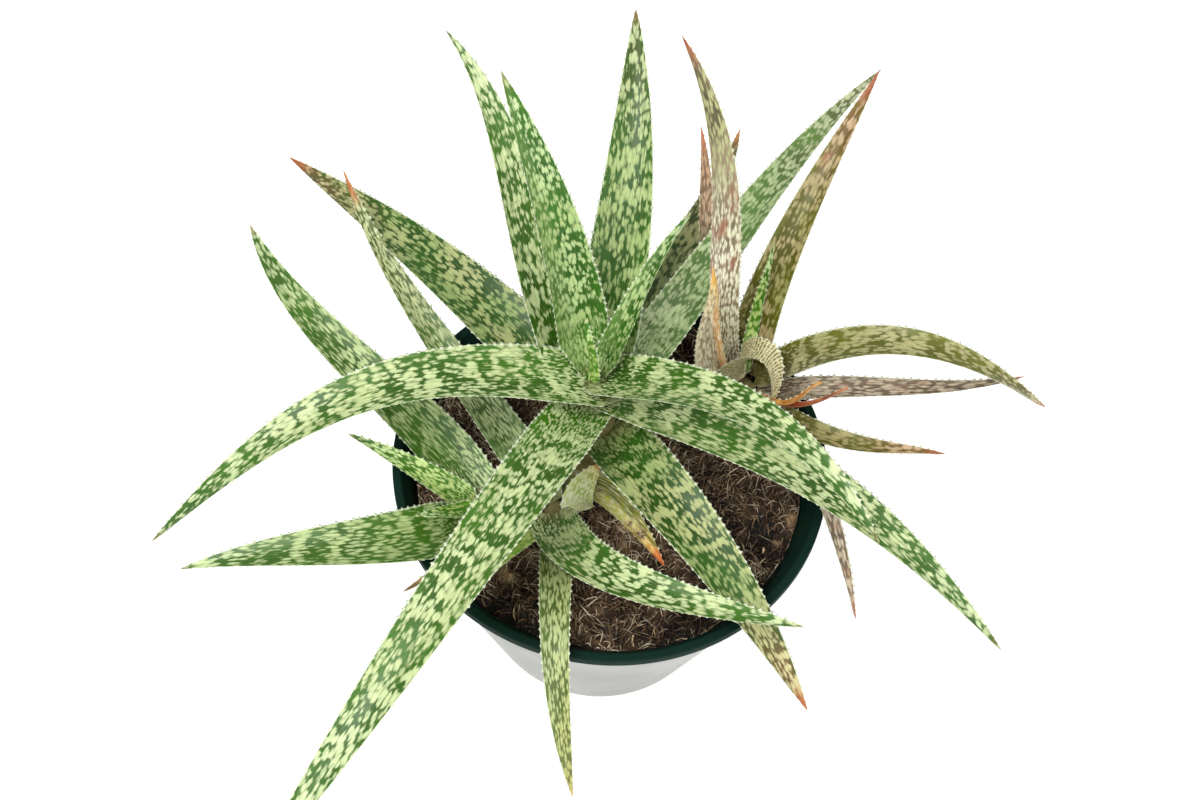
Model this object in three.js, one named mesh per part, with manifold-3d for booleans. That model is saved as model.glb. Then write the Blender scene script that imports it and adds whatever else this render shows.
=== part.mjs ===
// A potted white beauty aloe: four rosettes of thick, toothed leaves growing in coir
// potting mix, in a dark green grow pot that stands in a pale cover pot.
// Units are millimetres, +Z is up. The origin is the centre of the cover pot's base.
import * as THREE from 'three';
import Module from 'manifold-3d';
import { mergeVertices } from 'three/addons/utils/BufferGeometryUtils.js';

const wasm = await Module();
wasm.setup();

// Driving dimensions of the pots
const GAP = 0.3;                  // left between pieces that would touch
const RIM_RADIUS = 75;            // outside of the grow pot's rim
const RIM_TOP = 106;              // height of the rim's flat top
const RIM_LIP = 2.8;              // width of the rim's flat top
const RIM_DEPTH = 4;              // height of the rim's outer band
const GROW_WALL = 1.4;
const COVER_TOP_RADIUS = 73;
const COVER_BASE_RADIUS = 44.5;
const COVER_WALL = 1.8;
const COVER_FLOOR = 2.4;
const COVER_FOOT = 1.2;           // rounding where the wall meets the base
const POT_SIDES = 48;

// Driving dimensions of the potting mix and its holes for the stems
const SOIL_TOP = 95;
const SOIL_RELIEF = 1.3;          // height of the lumps either way
const SOIL_RINGS = 7;
const SOIL_SIDES = 44;
const HOLE_DEPTH = 14;

// Each plant's crown is the middle of its rosette. Its stem ends stemDrop below that.
const PLANTS = {
  main: { crown: [-8, 6, 146], stemRadius: 8, stemDrop: 14, scars: 4 },
  left: { crown: [-40, -24, 110], stemRadius: 5, stemDrop: 7, scars: 1 },
  front: { crown: [-16, -20, 108], stemRadius: 5.5, stemDrop: 6, scars: 1 },
  dry: { crown: [44, 34, 112], stemRadius: 6.5, stemDrop: 7, scars: 1 },
};
const STEM_SIDES = 14;

// Shared shape of a leaf
const TOOTH_PITCH = 9.4;          // one tooth in each stretch of margin
const TOOTH_HEIGHT = 1;
const TOOTH_HALF_BASE = 0.8;
const TOOTH_LEAN = 0.4;           // how far a tooth's point leans to the leaf's tip
const FEWEST_STRETCHES = 5;
const DEFAULT_NECK = 0.85;        // width at the base, as a share of the full width
const NECK_LENGTH = 0.15;         // share of the length over which the base widens
const HEEL = 0.6;                 // further share that rounds the base's very end
const HEEL_LENGTH = 0.04;
const TIP_SHARPNESS = 0.9;        // power that closes the width at the tip
const DEFAULT_TAPER = 1.5;        // a higher taper keeps the leaf wide for longer
const DEFAULT_CHANNEL = 0.32;     // sag of the upper face's middle, per half width
const THICKNESS_SHARE = 0.24;     // thickness at the base, per full width
const THINNEST_BASE = 1.6;
const TIP_THICKNESS = 1.2;
const SIDE_STEADINESS = 0.25;     // keeps an upright leaf's sides level
const STEEPEST_MARGIN = 1.5;      // steepest way that a tooth points up

// Colours of the pieces
const GREEN = '#7f9d63';
const OLIVE = '#8b8a58';
const DRIED = '#8f7a68';
const ORANGE = '#b5642e';

// A leaf's route is four places on its middle line, at its base, at one third and two
// thirds of the way, and at its tip. Each is [turn, out, up] from its plant's crown:
// turn in degrees from +X towards +Y, out and up in mm. Width is the full width, and
// roll turns the whole blade about its route, in degrees.
// Leaves higher in this list lie over the lower ones at the crown.
const LEAVES = [
  { name: 'leaf_main_bud', plant: 'main', width: 6, colour: GREEN,
    route: [[0, 0, 0], [190, 0, 13], [205, 2, 26], [210, 4, 38]] },
  { name: 'leaf_main_inner', plant: 'main', width: 10.5, neck: 0.4, colour: GREEN,
    route: [[71, 2, -2], [49, 13, 24], [45, 23, 46], [39, 32, 66]] },
  { name: 'leaf_main_channelled', plant: 'main', width: 18, neck: 0.25, taper: 2.3, channel: 0.6,
    roll: -15, colour: GREEN,
    route: [[112, 3, -5], [124, 17, 38], [132, 31, 76], [131, 52, 100]] },
  { name: 'leaf_main_back', plant: 'main', width: 22, taper: 2, colour: GREEN,
    route: [[87, 4, -8], [82, 34, 26], [85, 64, 52], [88, 100, 68]] },
  { name: 'leaf_main_right_upper', plant: 'main', width: 20, colour: GREEN,
    route: [[120, 4, -2], [339, 36, 20], [330, 72, 32], [324, 109, 24]] },
  { name: 'leaf_main_left', plant: 'main', width: 23, colour: GREEN,
    route: [[10, 9, -4], [191, 53, 11], [198, 101, 4], [202, 150, -32]] },
  { name: 'leaf_main_back_left', plant: 'main', width: 21, colour: GREEN,
    route: [[122, 7, -11], [127, 36, 29], [124, 64, 58], [126, 94, 76]] },
  { name: 'leaf_main_right_lower', plant: 'main', width: 24, colour: GREEN,
    route: [[102, 7, -10], [341, 55, -1], [338, 104, -12], [336, 155, -46]] },
  { name: 'leaf_main_front', plant: 'main', width: 21.5, taper: 1.9, colour: GREEN,
    route: [[76, 4, -13], [247, 58, 9], [244.5, 121, 3], [241.5, 190, -34]] },
  { name: 'leaf_main_far_left', plant: 'main', width: 25, colour: GREEN,
    route: [[138, 7, -17], [141, 56, -7], [140, 104, -12], [139, 160, -28]] },
  { name: 'leaf_main_back_right', plant: 'main', width: 18, colour: GREEN,
    route: [[50, 7, -16], [52, 49, 2], [55, 100, 12], [55, 164, 14]] },
  { name: 'leaf_main_front_right', plant: 'main', width: 24, taper: 1.7, colour: GREEN,
    route: [[320, 6, -22], [310, 42, -16], [312, 78, -28], [313, 116, -58]] },
  { name: 'leaf_main_back_low', plant: 'main', width: 19, colour: GREEN,
    route: [[66, 7, -24], [68, 49, -16], [68, 93, -14], [70, 135, -16]] },

  { name: 'leaf_left_tiny', plant: 'left', width: 8, colour: GREEN,
    route: [[213, 2, 0], [218, 12, 8], [219, 20, 15], [218, 27, 20]] },
  { name: 'leaf_left_small', plant: 'left', width: 11, colour: GREEN,
    route: [[160, 5, -3], [166, 19, 7], [165, 34, 13], [164, 50, 16]] },
  { name: 'leaf_left_back', plant: 'left', width: 20, taper: 1.7, colour: GREEN,
    route: [[105, 5, -7], [136, 44, 8], [140, 84, 20], [135, 134, 18]] },
  { name: 'leaf_left_long', plant: 'left', width: 23, colour: GREEN,
    route: [[210, 4, -8], [213, 37, 9], [204, 69, 10], [200, 102, 4]] },
  { name: 'leaf_left_dried', plant: 'left', width: 8, colour: DRIED,
    route: [[253, 5, -11], [249, 23, 2], [242, 33, 3], [235, 42, 0]] },

  { name: 'leaf_front_right', plant: 'front', width: 18, taper: 1.7, colour: GREEN,
    route: [[202, 3, -3], [294, 32, 16], [315, 61, 24], [330, 93, 18]] },
  { name: 'leaf_front_stub', plant: 'front', width: 12, taper: 2, colour: GREEN,
    route: [[6, 7, -8], [27, 7, 0], [36, 11, 7], [36, 16, 13]] },
  { name: 'leaf_front_folded', plant: 'front', width: 13, channel: 0.9, colour: OLIVE,
    route: [[60, 7, -10], [42, 17, -7], [353, 27, -6], [338, 40, -11]] },
  { name: 'leaf_front_left', plant: 'front', width: 18, colour: GREEN,
    route: [[170, 6, -7], [234, 46, 20], [238, 84, 24], [236, 135, -6]] },
  { name: 'leaf_front_withered', plant: 'front', width: 16, colour: OLIVE,
    route: [[127, 5, -7], [129, 52, 1], [131, 95, 18], [130, 133, 42]] },
  { name: 'leaf_front_hanging', plant: 'front', width: 11, taper: 2.2, colour: OLIVE,
    route: [[265, 5, -7], [272, 39, 7], [274, 67, 1], [278, 90, -36]] },

  { name: 'leaf_dry_young', plant: 'dry', width: 5, colour: GREEN,
    route: [[83, 3, -2], [82, 17, 19], [80, 21, 36], [80, 24, 50]] },
  { name: 'leaf_dry_dead', plant: 'dry', width: 14, taper: 1, roll: -60, colour: DRIED,
    route: [[200, 8, -8], [174, 14, 18], [176, 15, 40], [172, 17, 60]] },
  { name: 'leaf_dry_tall', plant: 'dry', width: 13.5, taper: 2.5, colour: DRIED,
    route: [[140, 5, -3], [147, 14, 48], [134, 25, 92], [130, 53, 124]] },
  { name: 'leaf_dry_curled', plant: 'dry', width: 14, colour: OLIVE,
    route: [[150, 5, -4], [168, 3, 16], [327, 8, 22], [318, 14, -2]] },
  { name: 'leaf_dry_back', plant: 'dry', width: 16, colour: OLIVE,
    route: [[82, 6, -7], [74, 25, 32], [68, 55, 58], [66, 89, 74]] },
  { name: 'leaf_dry_arching', plant: 'dry', width: 15, taper: 1.8, colour: OLIVE,
    route: [[40, 5, -4], [1, 38, 28], [357, 71, 30], [359, 107, 0]] },
  { name: 'leaf_dry_thin', plant: 'dry', width: 9, taper: 2.2, colour: DRIED,
    route: [[120, 6, -5], [121, 28, 26], [116, 44, 50], [114, 58, 70]] },
  { name: 'leaf_dry_shred_upper', plant: 'dry', width: 3, colour: ORANGE,
    route: [[316, 6, -3], [321, 19, 5], [333, 23, 10], [341, 27, 15]] },
  { name: 'leaf_dry_shred_lower', plant: 'dry', width: 3, colour: ORANGE,
    route: [[313, 6, -5], [325, 21, 4], [337, 29, 8], [346, 36, 13]] },
  { name: 'leaf_dry_right', plant: 'dry', width: 10, taper: 1.8, colour: DRIED,
    route: [[346, 6, -8], [357, 34, 2], [0, 65, 4], [3, 98, 8]] },
  { name: 'leaf_dry_low_right', plant: 'dry', width: 11, colour: OLIVE,
    route: [[320, 5, -8], [325, 36, 0], [335, 56, 0], [343, 75, -4]] },
  { name: 'leaf_dry_hanging', plant: 'dry', width: 9, colour: DRIED,
    route: [[336, 5, -9], [307, 35, 1], [301, 65, -4], [301, 87, -32]] },
];

// Solids: closed meshes in and out of the boolean library

function toSolid(geometry) {
  const bare = geometry.clone();
  bare.deleteAttribute('normal');
  bare.deleteAttribute('uv');
  const merged = mergeVertices(bare, 1e-4);
  return new wasm.Manifold(new wasm.Mesh({
    numProp: 3,
    vertProperties: new Float32Array(merged.attributes.position.array),
    triVerts: new Uint32Array(merged.index.array),
  }));
}

function toGeometry(solid) {
  const mesh = solid.getMesh();
  const geometry = new THREE.BufferGeometry();
  geometry.setAttribute('position', new THREE.BufferAttribute(mesh.vertProperties, 3));
  geometry.setIndex(new THREE.BufferAttribute(mesh.triVerts, 1));
  geometry.computeVertexNormals();
  return geometry;
}

function biggestBody(solid) {
  return solid.decompose().reduce((best, body) => (body.volume() > best.volume() ? body : best));
}

// Revolves [radius, height] points around the Z axis.
function lathe(points, sides) {
  const geometry = new THREE.LatheGeometry(points.map(([r, z]) => new THREE.Vector2(r, z)), sides);
  geometry.rotateX(Math.PI / 2);
  return geometry;
}

// Leaves

// The place at [turn, out, up] from a plant's crown.
function fromCrown(plant, [turn, out, up]) {
  const [x, y, z] = PLANTS[plant].crown;
  const angle = THREE.MathUtils.degToRad(turn);
  return new THREE.Vector3(x + out * Math.cos(angle), y + out * Math.sin(angle), z + up);
}

// A cubic curve through the route's four places, met at even steps of the curve.
function routeCurve(leaf) {
  const [a, b, c, d] = leaf.route.map((place) => fromCrown(leaf.plant, place));
  const mix = (wa, wb, wc, wd) => new THREE.Vector3()
    .addScaledVector(a, wa / 6).addScaledVector(b, wb / 6)
    .addScaledVector(c, wc / 6).addScaledVector(d, wd / 6);
  return new THREE.CubicBezierCurve3(a, mix(-5, 18, -9, 2), mix(2, -9, 18, -5), d);
}

// The leaf's frame and section at share s of its length: the middle of its width, the
// directions to its side and its upper face, half its width, how far the upper face's
// middle sags below the margins, and how thick the leaf is there.
function station(leaf, curve, s) {
  const centre = curve.getPointAt(s);
  const along = curve.getTangentAt(s);
  const reach = curve.getPoint(1).sub(curve.getPoint(0)).setZ(0).normalize();
  const flat = along.clone().setZ(0).addScaledVector(reach, SIDE_STEADINESS);
  const side = new THREE.Vector3(0, 0, 1).cross(flat).normalize();
  side.addScaledVector(along, -side.dot(along)).normalize();
  side.applyAxisAngle(along, THREE.MathUtils.degToRad(leaf.roll ?? 0));
  const upper = along.clone().cross(side);
  const neck = THREE.MathUtils.lerp(leaf.neck ?? DEFAULT_NECK, 1, Math.min(s / NECK_LENGTH, 1));
  const heel = THREE.MathUtils.lerp(HEEL, 1, Math.min(s / HEEL_LENGTH, 1));
  const closing = (1 - s ** (leaf.taper ?? DEFAULT_TAPER)) ** TIP_SHARPNESS;
  const half = 0.5 * leaf.width * neck * heel * closing;
  const sag = (leaf.channel ?? DEFAULT_CHANNEL) * half;
  const baseThickness = Math.max(THINNEST_BASE, THICKNESS_SHARE * leaf.width);
  const thick = TIP_THICKNESS + (baseThickness - TIP_THICKNESS) * (1 - s);
  return { centre, along, side, upper, half, sag, thick };
}

// A leaf as one closed body. Its section has a sharp margin each side, a hollow upper
// face and a rounded lower face, three points across each. Each stretch of margin holds
// one tooth, whose point the faces run up to. With grow over 0 the leaf is fatter all
// round and has no teeth, which is what its neighbours are cut by.
function leafGeometry(leaf, grow = 0) {
  const curve = routeCurve(leaf);
  const length = curve.getLength();
  const stretches = Math.max(FEWEST_STRETCHES, Math.round(length / TOOTH_PITCH));
  const margin = grow > 0 ? grow + TOOTH_HEIGHT : 0;
  const vertices = [];
  const faces = [];
  const put = (st, across, up) => {
    const p = st.centre.clone().addScaledVector(st.side, across).addScaledVector(st.upper, up);
    return vertices.push(p.x, p.y, p.z) / 3 - 1;
  };
  // A margin point. It reaches outward along the slope midway between the two faces.
  const putMargin = (st, sign, reach) => {
    const slope = Math.min(STEEPEST_MARGIN, (1.5 * st.sag + 0.75 * st.thick) / Math.max(st.half, 0.1));
    const out = margin + reach;
    return put(st, sign * (st.half + out), out * slope);
  };

  const rings = [];
  for (let i = 0; i < stretches; i += 1) {
    const st = station(leaf, curve, i / stretches);
    const top = (share) => grow - st.sag * (1 - share * share);
    const bottom = (share) => -grow - (st.sag + st.thick) * (1 - share * share);
    rings.push({
      left: putMargin(st, 1, 0),
      right: putMargin(st, -1, 0),
      top: [0.5, 0, -0.5].map((share) => put(st, share * st.half, top(share))),
      bottom: [0.5, 0, -0.5].map((share) => put(st, share * st.half, bottom(share))),
    });
  }
  const tip = station(leaf, curve, 1);
  tip.centre.addScaledVector(tip.along, grow);
  const tipVertex = put(tip, 0, 0);

  // Margin points of one stretch, with a tooth (or a flat place for it) between its ends.
  const marginOf = (i, sign) => {
    const edge = (ring) => (sign > 0 ? ring.left : ring.right);
    const last = i === stretches - 1;
    const from = edge(rings[i]);
    const to = last ? tipVertex : edge(rings[i + 1]);
    const middle = (i + (last ? 0.35 : 0.5)) / stretches;
    const at = (s, reach) => putMargin(station(leaf, curve, s), sign, reach);
    const height = grow > 0 ? 0 : Math.min(TOOTH_HEIGHT, 0.6 * station(leaf, curve, middle).half);
    const step = TOOTH_HALF_BASE / length;
    const point = at(middle + TOOTH_LEAN / length, height);
    return [from, at(middle - step, 0), point, at(middle + step, 0), to];
  };

  const add = (flip, a, b, c) => faces.push(...(flip ? [a, c, b] : [a, b, c]));
  // Joins a chain of margin points to the one or two face points beside it.
  const fan = (flip, chain, near, far) => {
    const turn = Math.floor(chain.length / 2);
    for (let k = 0; k + 1 < chain.length; k += 1) {
      add(flip, k < turn ? near : far, chain[k], chain[k + 1]);
    }
    if (near !== far) add(flip, near, chain[turn], far);
  };

  for (let i = 0; i < stretches; i += 1) {
    const last = i === stretches - 1;
    const left = marginOf(i, 1);
    const right = marginOf(i, -1);
    for (const face of ['top', 'bottom']) {
      const isTop = face === 'top';
      const here = rings[i][face];
      const next = last ? here : rings[i + 1][face];
      fan(isTop, left, here[0], next[0]);
      fan(!isTop, right, here[2], next[2]);
      for (const k of [0, 1]) {
        if (last) {
          add(isTop, here[k], tipVertex, here[k + 1]);
        } else {
          add(isTop, here[k], next[k], next[k + 1]);
          add(isTop, here[k], next[k + 1], here[k + 1]);
        }
      }
    }
  }
  const base = rings[0];
  const around = [base.left, ...base.top, base.right, ...base.bottom.slice().reverse()];
  const hub = base.bottom[1];
  for (let k = 0; k < around.length; k += 1) {
    const a = around[k];
    const b = around[(k + 1) % around.length];
    if (a !== hub && b !== hub) faces.push(hub, b, a);
  }

  const geometry = new THREE.BufferGeometry();
  geometry.setAttribute('position', new THREE.Float32BufferAttribute(vertices, 3));
  geometry.setIndex(faces);
  return geometry;
}

// Stems

// A short upright stem with shallow rings where old leaves were.
function stemPoints(plant, grow = 0) {
  const { crown, stemRadius, stemDrop, scars } = PLANTS[plant];
  const foot = SOIL_TOP - HOLE_DEPTH + GAP;
  const top = crown[2] - stemDrop;
  const points = [[0, foot - grow], [stemRadius + grow, foot - grow]];
  const bare = SOIL_TOP + SOIL_RELIEF + 1;
  const ringStep = (top - 2 - bare) / scars;
  for (let k = 0; k < scars; k += 1) {
    const z = bare + k * ringStep;
    points.push([stemRadius + grow, z], [stemRadius + 0.5 + grow, z + 0.3 * ringStep]);
    points.push([stemRadius - 0.3 + grow, z + 0.6 * ringStep]);
  }
  points.push([stemRadius - 0.4 + grow, top - 1.6 + grow], [stemRadius - 2 + grow, top + grow], [0, top + grow]);
  return points;
}

function stemGeometry(plant, grow = 0) {
  const geometry = lathe(stemPoints(plant, grow), STEM_SIDES);
  geometry.translate(PLANTS[plant].crown[0], PLANTS[plant].crown[1], 0);
  return geometry;
}

// Pots and potting mix

// Radius of the straight tapered wall's outside at a height.
const coverRadius = (z) => COVER_BASE_RADIUS + (COVER_TOP_RADIUS - COVER_BASE_RADIUS) * z / COVER_TOP;
const COVER_TOP = RIM_TOP - RIM_DEPTH - GAP;
const GROW_FLOOR = COVER_FLOOR + GAP;
const growRadius = (z) => coverRadius(z) - COVER_WALL - GAP;
const growInside = (z) => growRadius(z) - GROW_WALL;

function coverPotGeometry() {
  return lathe([
    [0, 0],
    [COVER_BASE_RADIUS - COVER_FOOT, 0],
    [coverRadius(COVER_FOOT), COVER_FOOT],
    [COVER_TOP_RADIUS, COVER_TOP],
    [COVER_TOP_RADIUS - COVER_WALL, COVER_TOP],
    [coverRadius(COVER_FLOOR) - COVER_WALL, COVER_FLOOR],
    [0, COVER_FLOOR],
  ], POT_SIDES);
}

function growPotGeometry() {
  const underRim = RIM_TOP - RIM_DEPTH;
  return lathe([
    [0, GROW_FLOOR],
    [growRadius(GROW_FLOOR), GROW_FLOOR],
    [growRadius(underRim), underRim],
    [RIM_RADIUS - 0.4, underRim],
    [RIM_RADIUS, underRim + 0.4],
    [RIM_RADIUS, RIM_TOP - 0.5],
    [RIM_RADIUS - 0.5, RIM_TOP],
    [RIM_RADIUS - RIM_LIP, RIM_TOP],
    [growInside(underRim - 1.5), underRim - 1.5],
    [growInside(GROW_FLOOR + GROW_WALL), GROW_FLOOR + GROW_WALL],
    [0, GROW_FLOOR + GROW_WALL],
  ], POT_SIDES);
}

// Height of the potting mix: a gentle mound with a few waves of lumps.
function soilHeight(x, y) {
  const lumps = Math.sin(0.21 * x + 1.3) * Math.cos(0.17 * y) + 0.6 * Math.sin(0.33 * y + 0.24 * x);
  return SOIL_TOP + SOIL_RELIEF * 0.6 * lumps;
}

function soilGeometry(lift = 0) {
  const foot = GROW_FLOOR + GROW_WALL + GAP;
  const rimRadius = growInside(SOIL_TOP) - GAP;
  const profile = [[0, foot], [growInside(foot) - GAP, foot], [rimRadius, SOIL_TOP]];
  for (let k = SOIL_RINGS - 1; k >= 0; k -= 1) profile.push([rimRadius * k / SOIL_RINGS, SOIL_TOP]);
  const geometry = lathe(profile, SOIL_SIDES);
  const place = geometry.attributes.position;
  for (let k = 0; k < place.count; k += 1) {
    const x = place.getX(k);
    const y = place.getY(k);
    const inner = Math.hypot(x, y) < rimRadius - 1;
    if (place.getZ(k) > SOIL_TOP - 1 && inner) place.setZ(k, soilHeight(x, y) + lift);
  }
  return geometry;
}

// A plain hole for each stem, GAP wider than the stem all round.
function stemHole(plant) {
  const { crown, stemRadius } = PLANTS[plant];
  const height = HOLE_DEPTH + 10;
  const geometry = new THREE.CylinderGeometry(stemRadius + GAP, stemRadius + GAP, height, STEM_SIDES);
  geometry.rotateX(Math.PI / 2);
  geometry.translate(crown[0], crown[1], SOIL_TOP - HOLE_DEPTH + height / 2);
  return geometry;
}

// Assembly

const object = new THREE.Group();

function addPiece(name, geometry, colour, roughness) {
  const material = new THREE.MeshStandardMaterial({ color: colour, roughness, metalness: 0 });
  const mesh = new THREE.Mesh(geometry, material);
  mesh.name = name;
  object.add(mesh);
}

addPiece('cover_pot', coverPotGeometry(), '#e3e4e4', 0.35);
addPiece('grow_pot', growPotGeometry(), '#1c3a36', 0.45);

let soil = toSolid(soilGeometry());
for (const plant of Object.keys(PLANTS)) soil = soil.subtract(toSolid(stemHole(plant)));
addPiece('potting_mix', toGeometry(soil), '#4a352a', 0.95);

for (const plant of Object.keys(PLANTS)) {
  addPiece(`stem_${plant}`, stemGeometry(plant), '#8a7a5a', 0.8);
}

// Each leaf gives way, by GAP, to the potting mix, the stems and the leaves above it in
// the list.
const inTheWay = [toSolid(soilGeometry(GAP))];
for (const plant of Object.keys(PLANTS)) inTheWay.push(toSolid(stemGeometry(plant, GAP)));
for (const leaf of LEAVES) {
  let solid = toSolid(leafGeometry(leaf));
  for (const other of inTheWay) solid = solid.subtract(other);
  addPiece(leaf.name, toGeometry(biggestBody(solid)), leaf.colour, 0.5);
  inTheWay.push(toSolid(leafGeometry(leaf, GAP)));
}

export default object;
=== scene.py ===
"""Looks of the potted white beauty aloe: spotted, toothed leaves, coir potting mix, two pots.

Every piece is worked out in mm in the CAD model's frame, becomes a mesh in metres, and stands
where its CAD nodes do.
"""

import bpy
import numpy as np
from mathutils import Matrix


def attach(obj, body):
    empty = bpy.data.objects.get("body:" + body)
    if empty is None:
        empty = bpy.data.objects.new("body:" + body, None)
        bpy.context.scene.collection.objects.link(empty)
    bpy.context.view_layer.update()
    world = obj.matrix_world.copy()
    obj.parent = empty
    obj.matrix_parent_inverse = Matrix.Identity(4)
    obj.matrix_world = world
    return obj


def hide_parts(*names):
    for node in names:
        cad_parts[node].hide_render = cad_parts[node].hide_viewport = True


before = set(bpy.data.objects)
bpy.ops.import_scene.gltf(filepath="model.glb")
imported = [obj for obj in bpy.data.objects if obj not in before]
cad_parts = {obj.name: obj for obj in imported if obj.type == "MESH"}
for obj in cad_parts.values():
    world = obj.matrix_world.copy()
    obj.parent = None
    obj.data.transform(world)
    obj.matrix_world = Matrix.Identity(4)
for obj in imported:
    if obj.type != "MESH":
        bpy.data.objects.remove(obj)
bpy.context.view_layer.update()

MM = 0.001

# Shape of the pots and the potting mix, in mm, as in the part's source
GAP = 0.3
RIM_RADIUS = 75
RIM_TOP = 106
RIM_LIP = 2.8
RIM_DEPTH = 4
GROW_WALL = 1.4
UNDER_RIM = RIM_TOP - RIM_DEPTH
LIP_SLOPE = 1.5
COVER_TOP = UNDER_RIM - GAP
COVER_TOP_RADIUS = 73
COVER_BASE_RADIUS = 44.5
COVER_WALL = 1.8
COVER_FLOOR = 2.4
FOOT_INSET = 0.8
FOOT_HEIGHT = 1.2
GROW_FLOOR = COVER_FLOOR + GAP
GROW_INSIDE_FLOOR = GROW_FLOOR + GROW_WALL
SOIL_TOP = 95
HOLE_DEPTH = 14

# Fineness of the turned pieces, and how far their corners are rounded, in mm
POT_SIDES = 192
STEM_SIDES = 64
SOIL_SIDES = 320
SOIL_RINGS = 120
COVER_ROUNDING = 0.8
GROW_ROUNDING = 0.5
STEM_ROUNDING = 1.2
CORNER_STEPS = 4

# Lumps on the potting mix as place and size, and where the first pale flakes lie, in mm
LUMP_HEIGHT = 3.0
LUMPS = ((64, -12, 2.8), (59, -21, 1.9), (-31, -44, 2.2), (38, 52, 2.4))
FLAKE_PLACES = ((-26, -60), (14, -65))

# Rings of a coir strand's tube, and how far strands keep from the pot's wall in mm
STRAND_RINGS = 5
STRAND_CLEARANCE = 0.9

# The potting mix sinks by this much over this distance from the pot's wall
SOIL_SINK = 1.6
SINK_WIDTH = 3.0

# Side of the table of random numbers that value noise repeats over
NOISE_TABLE = 256

# Each plant's crown, its stem's radius and drop below the crown in mm, and its rings
PLANTS = {
    "main": ((-8, 6, 146), 8, 14, 4),
    "left": ((-40, -24, 110), 5, 7, 1),
    "front": ((-16, -20, 108), 5.5, 6, 1),
    "dry": ((44, 34, 112), 6.5, 7, 1),
}

# Shape shared by the leaves, as in the part's source
NECK = 0.85
NECK_LENGTH = 0.15
HEEL = 0.6
HEEL_LENGTH = 0.04
TIP_SHARPNESS = 0.9
TAPER = 1.5
CHANNEL = 0.32
THICKNESS_SHARE = 0.24
THINNEST_BASE = 1.6
TIP_THICKNESS = 1.2
SIDE_STEADINESS = 0.25
STEEPEST_MARGIN = 1.5
MARGIN_SLOPE_SHARE = 0.75
TIP_ROUNDING = 0.04

# Teeth along the margins, in mm. Each has its own share of the height and its own shift, keeps
# below TOOTH_ROOM of the half width, and is pulled out of the outer TOOTH_ZONE of it.
TOOTH_PITCH = 2.7
TOOTH_HEIGHT = 0.7
TOOTH_HALF_BASE = 0.6
TOOTH_LEAN = 0.35
TOOTH_HEIGHTS = (0.45, 1.1)
TOOTH_SHIFT = 0.45
TOOTH_ZONE = 0.06
TOOTH_ROOM = 0.6
TOOTH_SEED = 1000

# Grid of the leaves: the rows' spacing in mm, which narrows a little towards the tip, and the
# places across the blade as shares of the half width
ROW_STEP = 0.36
ROW_SPACING = 0.97
FEWEST_ROWS = 24
ROUTE_SAMPLES = 801
SHARES = np.array([1, 0.965, 0.88, 0.66, 0.34, 0, -0.34, -0.66, -0.88, -0.965, -1])

# How far the underside's pattern lies from the upper face's, and one leaf's from the next
UNDERSIDE_SHIFT = 80
LEAF_SHIFT = 170.0

# Patterns of the skin: how often each repeats per mm across, along and in depth, and its shift
RAGGED = (0.9, 0.5, 1), (1.3, 4.9, 0)
FRAYED = (2.4, 0.3, 1), (6.1, 3.2, 0)
WANDER = (0.17, 0.09, 1), (0, 0, 0)
LARGE_CELLS = (0.74, 0.3, 1), (0, 0, 0)
SMALL_CELLS = (1.15, 0.5, 1), (4.4, 2.2, 0)
BANDS = (0.085, 0.19, 1), (7.3, 2.1, 0)
THREADS = (2.1, 0.13, 1), (3.7, 9.2, 0)
DASHES = (1.7, 0.12, 1), (8.8, 1.7, 0)
CLOUDS = (0.06, 0.03, 1), (0, 0, 0)
BLOTCHES = (0.22, 0.09, 1), (2.2, 8.8, 0)
GRAIN = (3.2, 0.35, 1), (0, 0, 0)

# How far spots wander sideways, along and into cross bands, in mm, and how much of a cell
# threads take from them or add to them
RAGGED_REACH = 1.1
FRAYED_REACH = 3.6
BAND_WANDER = 11.0
THREAD_THINNING = 0.6

# Brightness of the streaked ground, and of the spots' rims, hearts and lightest clouds
BRIGHT_GROUND = 1.32
SPOT_RIM = 0.88
SPOT_HEART = 1.06
SPOT_CLOUD = 1.1

# Colours as sRGB shares of 255, turned linear by rgb()
WHITE_TOOTH = (222, 228, 200)
BROWN_HEEL = (122, 104, 66)


def rgb(r, g, b):
    """The linear colour of an sRGB one given as 0 to 255."""
    share = np.array([r, g, b]) / 255
    linear = np.where(share <= 0.04045, share / 12.92, ((share + 0.055) / 1.055) ** 2.4)
    return (*[float(x) for x in linear], 1.0)


def shaded(colour, factor):
    """The linear colour of an sRGB one with each channel times the factor, at most 255."""
    return rgb(*[min(255, factor * c) for c in colour])


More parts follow.
